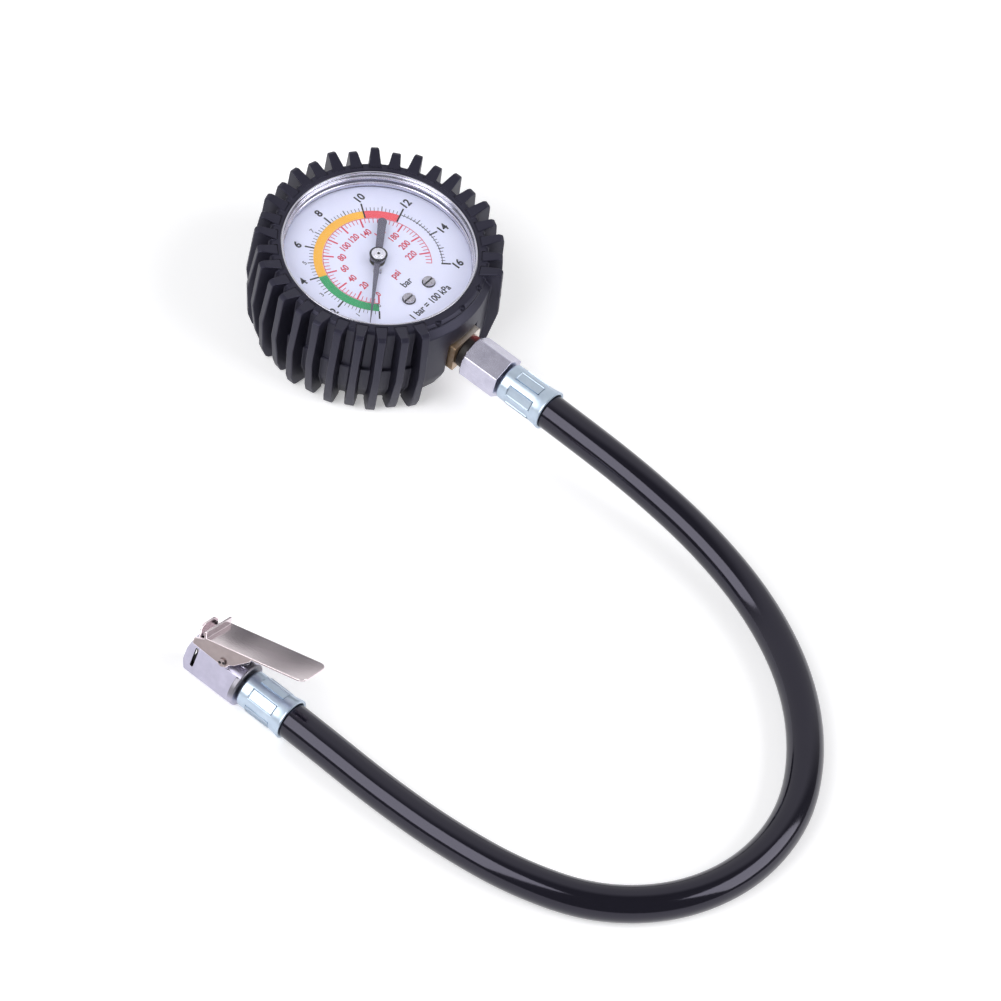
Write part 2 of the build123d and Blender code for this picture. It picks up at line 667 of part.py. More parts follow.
with BuildPart() as jaw:
    with BuildSketch(Plane(side.from_local_coords((*jaw_top, 0)), x_dir=side.z_dir, z_dir=jaw_forward)):
        with Locations((0, -5.15)):
            blade = Rectangle(8.4, 10.7)
        fillet(blade.vertices().sort_by(Axis.Y)[-2:], 2.2)
    extrude(amount=0.8)
    with BuildSketch(lever_side):                       # foot under the thumb plate
        with Locations((0.515, -1.2)):
            Rectangle(6.97, 0.8)
    extrude(amount=3.5, both=True)
    with BuildSketch(mouth):                            # notch that grips the valve's thread
        Circle(3.55)
    extrude(amount=8, mode=Mode.SUBTRACT)
save(jaw, "jaw")

with BuildPart() as lever_pin:
    with BuildSketch(side):
        with Locations((pivot_d, pivot_h)):
            Circle(0.9)
    extrude(amount=6.9, both=True)
    for head_from in (6.4, -6.9):
        with BuildSketch(side.offset(head_from)):
            with Locations((pivot_d, pivot_h)):
                Circle(1.3)
        extrude(amount=0.5)
save(lever_pin, "lever_pin")

spring_foot = side.from_local_coords((spring_d, spring_seat_h + spring_wire_r + 0.03, 0))
spring_height = 6.9 - 2 * spring_wire_r
with BuildPart() as lever_spring:
    with BuildLine():
        coil = Helix(spring_height / spring_turns, spring_height, spring_r, center=spring_foot,
                     direction=side.y_dir)
    with BuildSketch(Plane(coil @ 0, z_dir=coil % 0)):
        Circle(spring_wire_r)
    sweep(path=coil)
save(lever_spring, "lever_spring")

# ---------------------------------------------------------------- hose
hose_route = [(0, -56, 18.5), (0, -80, 18.2), (1, -107, 15.4), (1, -135, 10.0),
              (-5, -162, 6.6), (-18, -186, 5.8), (-36, -204, 5.8), (-57.5, -215.7, 5.8),
              (-82, -217.7, 5.8), (-105, -209.6, 5.8), (-122.8, -192.7, 5.8), (-132, -170, 5.8),
              (-136, -145, 5.8), (-137.2, -120, 6.0), (-137, -95, 7.0), (-137, -70, 7.4)]
bend_radii = []
for before, corner, after in zip(hose_route, hose_route[1:], hose_route[2:]):
    run_in, run_out = Vector(corner) - Vector(before), Vector(after) - Vector(corner)
    turn = radians(run_in.get_angle(run_out))
    bend_radii.append(0.45 * min(run_in.length, run_out.length) / tan(turn / 2))
print("hose bend radii, mm:", [round(radius) for radius in bend_radii])

with BuildPart() as hose:
    with BuildLine() as hose_path:
        FilletPolyline(*hose_route, radius=bend_radii)
    with BuildSketch(Plane(hose_path.line @ 0, z_dir=hose_path.line % 0)):
        Circle(hose_r)
        Circle(hose_bore_r, mode=Mode.SUBTRACT)
    sweep(path=hose_path.line)
save(hose, "hose")
hose_len = hose_path.wires()[0].length
print("hose length, mm:", round(hose_len, 1), "volume / section x length:",
      round(hose.part.volume / (pi * (hose_r ** 2 - hose_bore_r ** 2) * hose_len), 4))
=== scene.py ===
import json
from math import cos, radians, sin

import bpy
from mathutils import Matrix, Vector


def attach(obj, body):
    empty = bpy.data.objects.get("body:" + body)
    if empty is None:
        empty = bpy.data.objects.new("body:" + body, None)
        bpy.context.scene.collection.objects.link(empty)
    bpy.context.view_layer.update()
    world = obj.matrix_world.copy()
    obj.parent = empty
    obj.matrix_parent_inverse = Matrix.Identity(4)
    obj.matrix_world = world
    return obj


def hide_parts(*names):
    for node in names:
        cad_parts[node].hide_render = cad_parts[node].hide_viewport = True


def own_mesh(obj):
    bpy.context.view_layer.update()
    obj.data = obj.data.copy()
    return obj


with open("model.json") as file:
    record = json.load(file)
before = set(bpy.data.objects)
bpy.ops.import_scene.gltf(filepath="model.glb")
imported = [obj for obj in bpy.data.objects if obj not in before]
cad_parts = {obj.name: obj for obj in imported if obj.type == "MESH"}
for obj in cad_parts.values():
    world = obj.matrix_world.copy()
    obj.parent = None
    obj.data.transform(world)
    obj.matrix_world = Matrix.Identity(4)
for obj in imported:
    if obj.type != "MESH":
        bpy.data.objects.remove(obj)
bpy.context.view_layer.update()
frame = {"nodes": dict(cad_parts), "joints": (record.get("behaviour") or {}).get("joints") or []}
nodes = frame["nodes"]
bpy.ops.object.select_all(action="DESELECT")
mm = 0.001

# ---------------------------------------------------------------- camera
# A long lens held high on the chuck's side and rolled a little, so that the hose swings round
# the foot of the view and the dial reads from lower left to upper right.
bpy.ops.object.camera_add(location=(-0.99436, -0.64233, 1.47013),
                          rotation=[radians(angle) for angle in (36.8043, -6.9916, -50.4339)])
camera = bpy.context.object
camera.data.lens = 215.8
bpy.context.scene.camera = camera
camera.select_set(False)


# ---------------------------------------------------------------- air hose
# Extruded black rubber hose, 11.4 mm outside and 380 mm long, pushed over a barbed tail at each
# end.  It leaves the gauge level, comes down to the floor and swings round in one open bend.
def linear(hex_colour):
    """Linear RGBA from an sRGB hex colour."""
    channels = [int(hex_colour[i:i + 2], 16) / 255 for i in (1, 3, 5)]
    return [c / 12.92 if c <= 0.04045 else ((c + 0.055) / 1.055) ** 2.4 for c in channels] + [1]


def add_node(material, kind, inputs, **settings):
    """Adds a shader node; inputs holds values, or sockets to link from, by socket name or number."""
    node = material.node_tree.nodes.new(kind)
    for name, value in settings.items():
        setattr(node, name, value)
    for name, value in inputs.items():
        if isinstance(value, bpy.types.NodeSocket):
            material.node_tree.links.new(value, node.inputs[name])
        else:
            node.inputs[name].default_value = value
    return node


def start_material(name, **surface):
    """A material with its surface values set, its shader, and its Object coordinates."""
    material = bpy.data.materials.new(name)
    material.use_nodes = True
    shader = material.node_tree.nodes["Principled BSDF"]
    for socket, value in surface.items():
        if isinstance(value, str):
            value = linear(value)
        shader.inputs[socket.replace("_", " ")].default_value = value
    return material, shader, add_node(material, "ShaderNodeTexCoord", {}).outputs["Object"]


def colour_by(material, shader, share, low, high):
    """Colours the shader between two hex colours by this share, a node's output."""
    colour = add_node(material, "ShaderNodeMix", {0: share, 6: linear(low), 7: linear(high)},
                      data_type="RGBA")
    material.node_tree.links.new(colour.outputs[2], shader.inputs["Base Color"])


def mottle(material, shader, place, size, low, high):
    """Colours the shader between two hex colours, in soft patches of this size in metres."""
    patches = add_node(material, "ShaderNodeTexNoise",
                       {"Vector": place, "Scale": 1 / size, "Detail": 4.0, "Roughness": 0.6})
    colour_by(material, shader, patches.outputs["Fac"], low, high)


def grain(material, shader, place, size, depth, strength):
    """Roughens the shader's surface with a grain of this size and depth in metres."""
    fine = add_node(material, "ShaderNodeTexNoise", {"Vector": place, "Scale": 1 / size, "Detail": 4.0})
    bump = add_node(material, "ShaderNodeBump", {"Height": fine.outputs["Fac"], "Distance": depth,
                                                 "Strength": strength})
    material.node_tree.links.new(bump.outputs["Normal"], shader.inputs["Normal"])


# extruded rubber: near black and faintly violet, half glossy, with the slight ripple of the die
hose_rubber, shader, place = start_material("extruded_rubber", Roughness=0.11, IOR=1.5,
                                            Specular_Tint="#ebe7ff")
mottle(hose_rubber, shader, place, 12 * mm, "#100f17", "#15141d")
grain(hose_rubber, shader, place, 2.4 * mm, 0.04 * mm, 0.25)

hose_route = [(0, -56, 18.5), (0, -80, 18.2), (1, -107, 15.4), (1, -135, 10.0),
              (-5, -162, 6.6), (-18, -186, 5.8), (-36, -204, 5.8), (-57.5, -215.7, 5.8),
              (-82, -217.7, 5.8), (-105, -209.6, 5.8), (-122.8, -192.7, 5.8), (-132, -170, 5.8),
              (-136, -145, 5.8), (-137.2, -120, 6.0), (-137, -95, 7.0), (-137, -70, 7.4)]
hose_line = bpy.data.curves.new("air_hose", "CURVE")
hose_line.dimensions = "3D"
spline = hose_line.splines.new("NURBS")
spline.points.add(len(hose_route) - 1)
for point, (x, y, z) in zip(spline.points, hose_route):
    point.co = (x * mm, y * mm, z * mm, 1)
spline.order_u = 3
spline.use_endpoint_u = True
hose_line.resolution_u = 16
hose_line.bevel_depth = 5.7 * mm
hose_line.bevel_resolution = 10
hose_line.use_fill_caps = True
hose_line.materials.append(hose_rubber)
hose = bpy.data.objects.new("air_hose", hose_line)
bpy.context.scene.collection.objects.link(hose)
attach(hose, "gauge")
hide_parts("hose")


# ---------------------------------------------------------------- rubber boot
# Thick nitrile cup with 30 tread ribs, moulded in one piece and pulled over the gauge's case
# from the back.  The mould leaves every edge a little round.
def rounded_copy(node_name, piece_name, edge, body, material, sharp=30):
    """Stands in for a CAD node, with its edges sharper than this many degrees rounded."""
    mesh = nodes[node_name].data.copy()
    piece = bpy.data.objects.new(piece_name, mesh)
    bpy.context.scene.collection.objects.link(piece)
    mesh.materials.clear()
    mesh.materials.append(material)
    bpy.ops.object.select_all(action="DESELECT")
    bpy.context.view_layer.objects.active = piece
    piece.select_set(True)
    if mesh.has_custom_normals:
        bpy.ops.mesh.customdata_custom_splitnormals_clear()
    bpy.ops.object.mode_set(mode="EDIT")
    bpy.ops.mesh.select_all(action="SELECT")
    bpy.ops.mesh.remove_doubles(threshold=0.002 * mm)
    bpy.ops.mesh.dissolve_limited(angle_limit=radians(0.5))
    bpy.ops.object.mode_set(mode="OBJECT")
    rounding = piece.modifiers.new("rounding", "BEVEL")
    rounding.width = edge
    rounding.segments = 2
    rounding.limit_method = "ANGLE"
    rounding.angle_limit = radians(sharp)
    rounding.harden_normals = True
    rounding.use_clamp_overlap = False
    bpy.ops.object.shade_smooth()
    bpy.ops.object.modifier_apply(modifier="rounding")
    piece.select_set(False)
    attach(piece, body)
    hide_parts(node_name)
    return piece


# moulded nitrile rubber: matt charcoal with a violet cast and a fine grain off the tool
boot_rubber, shader, place = start_material("moulded_nitrile", Roughness=0.42, IOR=1.52,
                                            Specular_IOR_Level=0.4, Specular_Tint="#dedcff")
mottle(boot_rubber, shader, place, 9 * mm, "#1b1a25", "#24232e")
grain(boot_rubber, shader, place, 0.7 * mm, 0.05 * mm, 0.35)
rounded_copy("rubber_boot", "tread_boot", 0.35 * mm, "gauge", boot_rubber)


# ---------------------------------------------------------------- case, ring and window
# Bright rolled-steel cup, and the moulded polycarbonate window pressed into its mouth between
# rolled beads, with matt grey rings between the beads as painted shade.
def dress(names, material):
    """Gives CAD nodes this material."""
    for name in names:
        for held in nodes[name].material_slots:
            held.material = material


# rolled bright steel: almost a mirror, with the faint waviness of a rolled edge
bright_steel, shader, place = start_material("rolled_bright_steel", Metallic=1.0, Roughness=0.16)
mottle(bright_steel, shader, place, 8 * mm, "#b4b3c0", "#d6d6e2")
grain(bright_steel, shader, place, 3 * mm, 0.02 * mm, 0.2)
dress(["case"], bright_steel)


def turned_ring(name, inner, outer, bottom, top, edge, body, material, at=(0, 0)):
    """A ring about an upright axis, its section a rectangle with rounded edges, all in millimetres."""
    bpy.ops.object.select_all(action="DESELECT")
    bpy.ops.mesh.primitive_plane_add(size=mm, rotation=(radians(90), 0, 0))
    ring = bpy.context.object
    ring.name = name
    ring.scale = (outer - inner, top - bottom, 1)
    ring.location = ((inner + outer) / 2 * mm, 0, (bottom + top) / 2 * mm)
    bpy.ops.object.transform_apply()
    bpy.ops.object.mode_set(mode="EDIT")
    bpy.ops.mesh.select_all(action="SELECT")
    bpy.ops.mesh.delete(type="ONLY_FACE")
    bpy.ops.mesh.select_all(action="SELECT")
    bpy.ops.mesh.spin(steps=160 if outer > 10 else 48, angle=radians(360), center=(0, 0, 0), axis=(0, 0, 1))
    bpy.ops.mesh.select_all(action="SELECT")
    bpy.ops.mesh.remove_doubles(threshold=0.002 * mm)
    bpy.ops.mesh.normals_make_consistent(inside=False)
    bpy.ops.transform.translate(value=(at[0] * mm, at[1] * mm, 0))
    bpy.ops.object.mode_set(mode="OBJECT")
    rounding = ring.modifiers.new("rounding", "BEVEL")
    rounding.width = edge * mm
    rounding.segments = 3
    rounding.angle_limit = radians(50)
    bpy.ops.object.shade_smooth()
    bpy.ops.object.modifier_apply(modifier="rounding")
    ring.data.materials.append(material)
    ring.select_set(False)
    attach(ring, body)
    return ring


# matt grey rings between the rolled beads, painted shade in the wall's groove and at its foot on the
# dial: darker than the steel
shade_ring_grey, shader, place = start_material("grey_ring_painted_shade", Roughness=0.6, IOR=1.5)
mottle(shade_ring_grey, shader, place, 3 * mm, "#4a4a5e", "#5a5a70")
beads = turned_ring("rolled_bead", 29.35, 30.5, 29.2, 31.1, 0.55, "gauge", bright_steel)
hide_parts("bezel_ring")
turned_ring("window_bead", 29.5, 30.5, 32.3, 33.35, 0.4, "gauge", bright_steel)
turned_ring("window_rim", 30.05, 30.7, 35.22, 35.8, 0.2, "gauge", bright_steel)
# the next two rings are painted shade, one at the foot of the wall and one in its groove
turned_ring("dial_foot_shade_ring", 29.7, 30.5, 28.62, 29.2, 0.1, "gauge", shade_ring_grey)
turned_ring("window_groove_shade_ring", 29.8, 30.5, 31.1, 32.3, 0.2, "gauge", shade_ring_grey)

# injection-moulded polycarbonate: water clear, glossy, with a breath of haze
polycarbonate, shader, place = start_material("clear_polycarbonate", Transmission_Weight=1.0, IOR=1.3)
haze = add_node(polycarbonate, "ShaderNodeTexNoise", {"Vector": place, "Scale": 1 / (6 * mm), "Detail": 2.0})
haze_range = add_node(polycarbonate, "ShaderNodeMapRange",
                      {"Value": haze.outputs["Fac"], "To Min": 0.0, "To Max": 0.03})
polycarbonate.node_tree.links.new(haze_range.outputs["Result"], shader.inputs["Roughness"])
shader.inputs["Base Color"].default_value = linear("#fcfcff")
dress(["window"], polycarbonate)

# ---------------------------------------------------------------- dial and its printing
# Sheet-metal disc with a baked white finish.  Screen printed: a bar scale in black over three
# coloured bands, and a psi scale in red inside it, every ink a few hundredths of a millimetre high.

# stoved enamel: a cool white, smooth, with a soft sheen
white_enamel, shader, place = start_material("baked_white_enamel", Roughness=0.35, IOR=1.5)
mottle(white_enamel, shader, place, 15 * mm, "#dfe2f8", "#e8ebfd")
dress(["dial"], white_enamel)

dial_face = 28.6 * mm
ink_height = 0.03 * mm
scale_zero = -138.0         # dial angle of zero, in degrees
degrees_per_bar = 270.0 / 16
degrees_per_psi = degrees_per_bar / 14.5038


def start_ink(name, low, high):
    """Screen-printing ink: matt, and a little uneven where the mesh held back."""
    ink, shader, place = start_material(name, Roughness=0.5, IOR=1.5)
    mottle(ink, shader, place, 0.8 * mm, low, high)
    return ink


# each ink is one flat colour, and only its edge on the enamel and its slight mottle catch the eye
black_ink = start_ink("black_screen_ink", "#232330", "#1b1b28")
grey_ink = start_ink("grey_screen_ink", "#5c5c6e", "#505064")
red_ink = start_ink("red_screen_ink", "#d94a63", "#cf3a55")
green_ink = start_ink("green_screen_ink", "#35a66c", "#2b9d61")
amber_ink = start_ink("amber_screen_ink", "#fbbe48", "#f5b53c")
scarlet_ink = start_ink("scarlet_screen_ink", "#f4606a", "#ec5560")


def print_on_dial(pieces, name, layers, ink):
    """Joins flat marks into one printed piece this many ink layers high."""
    bpy.ops.object.select_all(action="DESELECT")
    for piece in pieces:
        piece.select_set(True)
    bpy.context.view_layer.objects.active = pieces[0]
    if len(pieces) > 1:
        bpy.ops.object.join()
    printed = bpy.context.object
    printed.name = name
    layer = printed.modifiers.new("layer", "SOLIDIFY")
    layer.thickness = layers * ink_height
    layer.offset = 1 if printed.data.polygons[0].normal.z > 0 else -1
    bpy.ops.object.modifier_apply(modifier="layer")
    bpy.ops.object.mode_set(mode="EDIT")
    bpy.ops.mesh.select_all(action="SELECT")
    bpy.ops.mesh.normals_make_consistent(inside=False)
    bpy.ops.object.mode_set(mode="OBJECT")
    printed.data.materials.clear()
    printed.data.materials.append(ink)
    printed.select_set(False)
    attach(printed, "gauge")


def tick(angle, inner, outer, width):
    """A straight mark along a radius of the dial, all in millimetres and degrees."""
    bpy.ops.mesh.primitive_plane_add(size=mm)
    mark = bpy.context.object
    mark.scale = (outer - inner, width, 1)
    middle = (inner + outer) / 2
    mark.location = (middle * mm * cos(radians(angle)), middle * mm * sin(radians(angle)), dial_face)
    mark.rotation_euler.z = radians(angle)
    bpy.ops.object.transform_apply()
    return mark


def arc(inner, outer, first, last):
    """A ring sector between two dial angles, the second further clockwise."""
    bpy.ops.mesh.primitive_plane_add(size=(outer - inner) * mm,
                                     location=((inner + outer) / 2 * mm, 0, dial_face))
    sector = bpy.context.object
    bpy.ops.object.transform_apply()
    bpy.ops.object.mode_set(mode="EDIT")
    bpy.ops.mesh.select_mode(type="VERT")
    bpy.ops.mesh.select_all(action="DESELECT")
    bpy.ops.object.mode_set(mode="OBJECT")
    for vertex in sector.data.vertices:
        vertex.select = vertex.co.y < 0
    bpy.ops.object.mode_set(mode="EDIT")
    bpy.ops.mesh.delete(type="VERT")
    bpy.ops.mesh.select_all(action="SELECT")
    bpy.ops.transform.translate(value=(0, -(outer - inner) / 2 * mm, 0))
    bpy.ops.mesh.spin(steps=max(8, int(first - last)), angle=radians(first - last),
                      center=(0, 0, dial_face), axis=(0, 0, 1))
    bpy.ops.object.mode_set(mode="OBJECT")
    sector.rotation_euler.z = radians(first)
    bpy.ops.object.transform_apply()
    return sector


def bar_angle(bar):
    return scale_zero - bar * degrees_per_bar


print_on_dial([arc(17.2, 20.0, bar_angle(0), bar_angle(4))], "green_band", 1, green_ink)
print_on_dial([arc(17.2, 20.0, bar_angle(4), bar_angle(10))], "amber_band", 1, amber_ink)
print_on_dial([arc(17.2, 20.0, bar_angle(10), bar_angle(12))], "scarlet_band", 1, scarlet_ink)
print_on_dial([arc(16.9, 17.1, bar_angle(0), bar_angle(16))], "psi_line", 2, red_ink)
print_on_dial([arc(20.3, 20.52, bar_angle(12), bar_angle(16))], "bar_line", 2, black_ink)

even_bars, odd_bars, fifths = [], [], []
for step in range(81):
    angle = bar_angle(step / 5)
    if step % 10 == 0:
        even_bars.append(tick(angle, 17.2 if step in (50, 60) else 20.0, 23.0, 0.5))
    elif step % 5 == 0:
        odd_bars.append(tick(angle, 20.0, 21.9, 0.26))
    else:
        fifths.append(tick(angle, 20.0, 21.3, 0.19))
print_on_dial(even_bars, "even_bar_ticks", 3, black_ink)
print_on_dial(odd_bars, "odd_bar_ticks", 3, black_ink)
print_on_dial(fifths, "fifth_bar_ticks", 3, grey_ink)

long_psi, short_psi = [], []
for step in range(59):
    angle = scale_zero - step * 4 * degrees_per_psi
    if step % 5 == 0:
        long_psi.append(tick(angle, 13.6, 16.95, 0.5))
    else:
        short_psi.append(tick(angle, 15.2, 16.95, 0.2))
print_on_dial(long_psi, "long_psi_ticks", 3, red_ink)
print_on_dial(short_psi, "short_psi_ticks", 3, red_ink)


def lettering(words, x, y, height, squeeze, weight):
    """Upright words centred on a place on the dial, in millimetres."""
    bpy.ops.object.text_add(location=(x * mm, y * mm, dial_face))
    text = bpy.context.object
    text.data.body = words
    text.data.align_x = "CENTER"
    text.data.align_y = "CENTER"
    text.data.size = height / 0.73 * mm
    text.data.offset = weight * mm
    text.data.resolution_u = 4
    text.scale.x = squeeze
    bpy.ops.object.convert(target="MESH")
    bpy.ops.object.transform_apply()
    bpy.ops.object.mode_set(mode="EDIT")
    bpy.ops.mesh.select_all(action="SELECT")
    bpy.ops.mesh.remove_doubles(threshold=0.006 * mm)
    bpy.ops.mesh.dissolve_degenerate(threshold=0.004 * mm)
    bpy.ops.object.mode_set(mode="OBJECT")
    return bpy.context.object


def numerals(values, place_angle, radius, height, squeeze, weight):
    """Numbers set round the dial at this radius in millimetres."""
    return [lettering(str(value), radius * cos(radians(place_angle(value))),
                      radius * sin(radians(place_angle(value))), height, squeeze, weight) for value in values]


def psi_angle(psi):
    return scale_zero - psi * degrees_per_psi


print_on_dial(numerals(range(2, 17, 2), bar_angle, 25.2, 2.8, 0.92, 0.11), "even_bar_numbers", 2, black_ink)
print_on_dial(numerals(range(1, 9, 2), bar_angle, 22.8, 1.6, 0.95, 0.02), "odd_bar_numbers", 2, grey_ink)
print_on_dial(numerals([0], bar_angle, 17.8, 1.6, 0.95, 0.0), "zero_number", 2, grey_ink)
print_on_dial(numerals(range(20, 221, 20), psi_angle, 11.0, 2.3, 0.8, 0.07), "psi_numbers", 2, red_ink)
print_on_dial([lettering("0", -9.9, -8.9, 1.9, 0.8, 0.05)], "psi_zero", 2, red_ink)
print_on_dial([lettering("psi", -0.1, -7.5, 2.4, 0.9, 0.07)], "psi_word", 2, red_ink)
print_on_dial([lettering("bar", -0.2, -12.1, 2.45, 0.88, 0.055)], "bar_word", 2, black_ink)
print_on_dial([lettering("1 bar = 100 kPa", -0.9, -22.3, 2.5, 0.82, 0.06)], "unit_line", 2, black_ink)

# ---------------------------------------------------------------- dial screws and zero stop
# Two nickel-plated cheese-head screws hold the dial to the movement; a pressed-in pin stops the
# pointer at zero.

# plated screw: bright, a little worn, with fine turning marks
nickel_screw, shader, place = start_material("nickel_plated_screw", Metallic=1.0, Roughness=0.22)
mottle(nickel_screw, shader, place, 1.5 * mm, "#8f8d94", "#c9c7ce")
grain(nickel_screw, shader, place, 0.3 * mm, 0.01 * mm, 0.3)
dress(["dial_screws", "zero_stop"], nickel_screw)


def bevelled_block(name, size, centre, edge, body, material, turn=0.0):
    """A block with rounded edges, in millimetres, turned about its upright axis in degrees."""
    bpy.ops.mesh.primitive_cube_add(size=mm)
    block = bpy.context.object
    block.name = name
    block.scale = size
    block.location = Vector(centre) * mm
    block.rotation_euler.z = radians(turn)
    bpy.ops.object.transform_apply()
    bpy.ops.object.mode_set(mode="EDIT")
    bpy.ops.mesh.select_all(action="SELECT")
    bpy.ops.mesh.bevel(offset=edge * mm, segments=2)
    bpy.ops.object.mode_set(mode="OBJECT")
    block.data.materials.append(material)
    block.select_set(False)
    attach(block, body)


# black pieces in the slots and under the heads, painted shade: dead matt, so both read as gaps
painted_slot_shade, shader, place = start_material("black_painted_slot_shade", Roughness=0.6, IOR=1.5)
mottle(painted_slot_shade, shader, place, 0.6 * mm, "#15151b", "#26262e")
screw_y = -16.9
for number, screw_x in enumerate((-4.75, 4.75)):
    turned_ring("screw_shadow_%d" % number, 1.7, 2.12, 28.61, 28.8, 0.05, "gauge", painted_slot_shade,
                at=(screw_x, screw_y))
    bevelled_block("slot_fill_%d" % number, (3.6, 0.55, 0.24), (screw_x, screw_y, 29.2), 0.06, "gauge",
                   painted_slot_shade)

# ---------------------------------------------------------------- pointer
# Needle blanked from aluminium sheet and sprayed black, gripped by a turned aluminium hub that is
# pressed on the pinion's arbor.

# sprayed paint: dark slate, satin, faintly pebbled
pointer_paint, shader, place = start_material("sprayed_black_paint", Roughness=0.4, IOR=1.5)
mottle(pointer_paint, shader, place, 3 * mm, "#565566", "#636272")
grain(pointer_paint, shader, place, 0.25 * mm, 0.01 * mm, 0.3)
rounded_copy("pointer", "needle", 0.06 * mm, "pointer", pointer_paint)

# turned aluminium: near white, with rings from the lathe that break up its shine
turned_aluminium, shader, place = start_material("turned_aluminium", Metallic=1.0, Roughness=0.25)
mottle(turned_aluminium, shader, place, 2 * mm, "#dcdce6", "#f2f2f8")
ring_pitch = 0.35 * mm
lathe_rings = add_node(turned_aluminium, "ShaderNodeTexWave",
                       {"Vector": place, "Scale": 1 / ring_pitch / 20, "Distortion": 0.4},
                       wave_type="RINGS", rings_direction="Z")
lathe_bump = add_node(turned_aluminium, "ShaderNodeBump", {"Height": lathe_rings.outputs["Fac"],
                                                           "Distance": 0.01 * mm, "Strength": 0.3})
turned_aluminium.node_tree.links.new(lathe_bump.outputs["Normal"], shader.inputs["Normal"])
hub = turned_ring("hub", 0.78, 2.25, 31.0, 32.3, 0.15, "pointer", turned_aluminium)
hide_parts("pointer_hub")
turned_ring("hub_washer", 0.45, 1.45, 32.25, 32.42, 0.06, "pointer", turned_aluminium)
turned_ring("hub_neck", 0.78, 1.6, 29.3, 31.0, 0.05, "pointer", turned_aluminium)

# blackened steel, for the collar round the hub: a thin dark outline
blackened_steel, shader, place = start_material("blackened_steel", Metallic=0.6, Roughness=0.4)
mottle(blackened_steel, shader, place, 1.5 * mm, "#1d1d26", "#2a2a34")
turned_ring("hub_collar", 2.25, 2.85, 31.7, 32.1, 0.1, "pointer", blackened_steel)

# tab under the needle that meets the zero stop
tab_angle, tab_reach = -145, 3.6
bevelled_block("stop_tab", (4.0, 1.8, 0.6),
               (tab_reach * cos(radians(tab_angle)), tab_reach * sin(radians(tab_angle)), 29.7),
               0.1, "pointer", blackened_steel, turn=tab_angle)

# ---------------------------------------------------------------- stem and its seal
# Forged brass socket whose milled square shank shows in the boot's cut-out, and a ring of thread
# sealant where the hose fitting screws on to it.

# machined brass: warm and bright, softened by its grain
machined_brass, shader, place = start_material("machined_brass", Metallic=0.8, Roughness=0.38)
mottle(machined_brass, shader, place, 3 * mm, "#dcc4a0", "#fbf0de")
grain(machined_brass, shader, place, 0.4 * mm, 0.02 * mm, 0.3)
dress(["tube_tip"], machined_brass)

# the shank: painted shade makes it browner on its inner side, and a painted highlight makes it pale on its
# outer side, over random blotches
shank_brass, shader, place = start_material("brass_painted_highlight_and_shade", Metallic=0.8, Roughness=0.34)
across = add_node(shank_brass, "ShaderNodeSeparateXYZ", {"Vector": place}).outputs["X"]
painted_highlight_share = add_node(shank_brass, "ShaderNodeMapRange",
                  {"Value": across, "From Min": -5 * mm, "From Max": 5.5 * mm})
blotches = add_node(shank_brass, "ShaderNodeTexNoise",
                    {"Vector": place, "Scale": 1 / (1.6 * mm), "Detail": 3.0})
patchy = add_node(shank_brass, "ShaderNodeMix",
                  {0: 0.35, 2: painted_highlight_share.outputs["Result"], 3: blotches.outputs["Fac"]})
colour_by(shank_brass, shader, patchy.outputs[0], "#a98455", "#fffaf4")
grain(shank_brass, shader, place, 0.5 * mm, 0.03 * mm, 0.4)
dress(["socket"], shank_brass)

# red thread sealant, with painted shade making it near black on one side of the ring
thread_sealant, shader, place = start_material("red_sealant_painted_shade", Roughness=0.45, IOR=1.5)
across = add_node(thread_sealant, "ShaderNodeSeparateXYZ", {"Vector": place}).outputs["X"]
# share of red along X: the near-black side is painted shade
squeeze = add_node(thread_sealant, "ShaderNodeMapRange",
                   {"Value": across, "From Min": 0.0, "From Max": 3 * mm}, interpolation_type="SMOOTHSTEP")
colour_by(thread_sealant, shader, squeeze.outputs["Result"], "#140a0c", "#7d1a1c")
grain(thread_sealant, shader, place, 0.8 * mm, 0.1 * mm, 0.5)
dress(["thread_seal"], thread_sealant)

# ---------------------------------------------------------------- gauge end of the hose
# Hexagon tail turned from brass and nickel plated, and the zinc-plated steel ferrule whose six
# pressed flats grip the hose on it.

# bright nickel: a mirror with a lilac tinge and a very fine grain
plated_nickel, shader, place = start_material("bright_nickel_plate", Metallic=1.0, Roughness=0.24)
mottle(plated_nickel, shader, place, 4 * mm, "#a9a7ba", "#d6d4e4")
grain(plated_nickel, shader, place, 0.5 * mm, 0.015 * mm, 0.25)
hexagon = rounded_copy("gauge_hose_tail", "hexagon_tail", 0.25 * mm, "gauge", plated_nickel)

# zinc plate: softer and bluer than the nickel beside it
plated_zinc, shader, place = start_material("zinc_plated_steel", Metallic=1.0, Roughness=0.34)
mottle(plated_zinc, shader, place, 4 * mm, "#a3b1c3", "#c8d6e4")
grain(plated_zinc, shader, place, 0.5 * mm, 0.02 * mm, 0.35)
gauge_crimp = rounded_copy("gauge_ferrule", "gauge_crimp", 0.32 * mm, "gauge", plated_zinc)

# ---------------------------------------------------------------- chuck end of the hose
# Second crimped ferrule and its tail, then the nickel-plated chuck that clips on a tyre valve:
# a drilled body with two milled flats, a rubber seal and pin in its mouth, and a lever and jaw
# pressed from steel sheet that turn on a pin against a coil spring.
chuck_crimp = rounded_copy("chuck_ferrule", "chuck_crimp", 0.32 * mm, "gauge", plated_zinc)
dress(["chuck_hose_tail"], plated_nickel)

# satin nickel over a die-cast body: greyer and softer than the turned fitting, with a lilac cast
satin_nickel, shader, place = start_material("satin_nickel_plate", Metallic=1.0, Roughness=0.36)
mottle(satin_nickel, shader, place, 3 * mm, "#a4a1b4", "#c2bfd2")
grain(satin_nickel, shader, place, 0.4 * mm, 0.03 * mm, 0.4)
